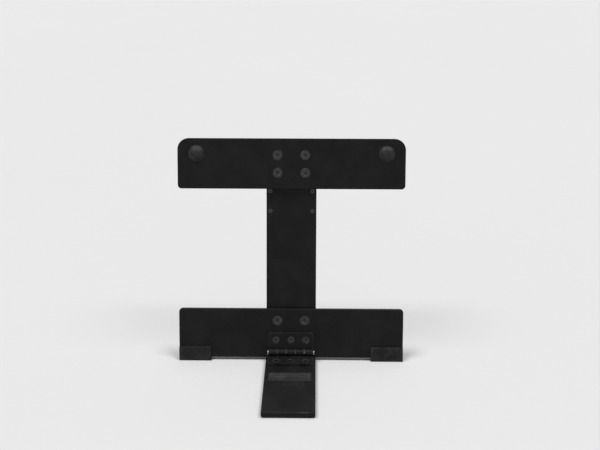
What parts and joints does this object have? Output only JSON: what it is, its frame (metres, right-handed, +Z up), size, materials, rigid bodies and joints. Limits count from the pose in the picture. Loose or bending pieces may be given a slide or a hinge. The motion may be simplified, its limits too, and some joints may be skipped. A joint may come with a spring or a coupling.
{
  "type": "plate display stand",
  "caption": "Folding plate display stand in satin black flat bar: a flat tongue carries the rim, a leaning back supports it, and a hinged strut props it.",
  "frame": {"origin": "on the table, at the middle of the open stand's box", "axes": "+X to the right, +Y to the back, +Z up; the tongue points along -Y"},
  "size_m": [0.181, 0.1806, 0.1744],
  "materials": {
    "coated_bar": "satin black powder coat",
    "coated_leaf": "satin black coat over pressed steel",
    "black_fastener": "black oxide, slightly oily",
    "steel_pin": "plain turned steel",
    "rubber_foot": "matt black moulded rubber",
    "silicone": "soft black silicone, faint sheen",
    "nylon_washer": "natural nylon"
  },
  "bodies": {
    "back": {"lower_bar": "coated_bar", "upper_bar": "coated_bar", "spine": "coated_bar", "lower_bar_screws": "black_fastener", "upper_bar_screws": "black_fastener", "back_hinge_leaf": "coated_leaf", "back_leaf_screws": "black_fastener", "tongue_hinge_pin": "steel_pin", "strut_bracket": "coated_bar", "bracket_rivets": "black_fastener", "strut_pin": "steel_pin", "strut_pin_clips": "steel_pin", "strut_washers": "nylon_washer", "left_top_bumper": "silicone", "right_top_bumper": "silicone", "left_foot_shoe": "rubber_foot", "right_foot_shoe": "rubber_foot"},
    "tongue": {"tongue": "coated_bar", "tongue_hinge_leaf": "coated_leaf", "tongue_leaf_screws": "black_fastener", "rim_strip": "silicone", "tongue_pads": "rubber_foot"},
    "strut": {"strut": "coated_bar", "strut_foot_cap": "rubber_foot"}
  },
  "joints": [
    {"name": "tongue_fold", "type": "hinge", "parent": "back", "child": "tongue", "pos_m": [0, -0.0034, 0.0079], "axis": [-1, 0, 0], "range_deg": [0, 103.5]},
    {"name": "strut_fold", "type": "hinge", "parent": "back", "child": "strut", "pos_m": [0, 0.04253, 0.12252], "axis": [-1, 0, 0], "range_deg": [0, 33.5]}
  ]
}
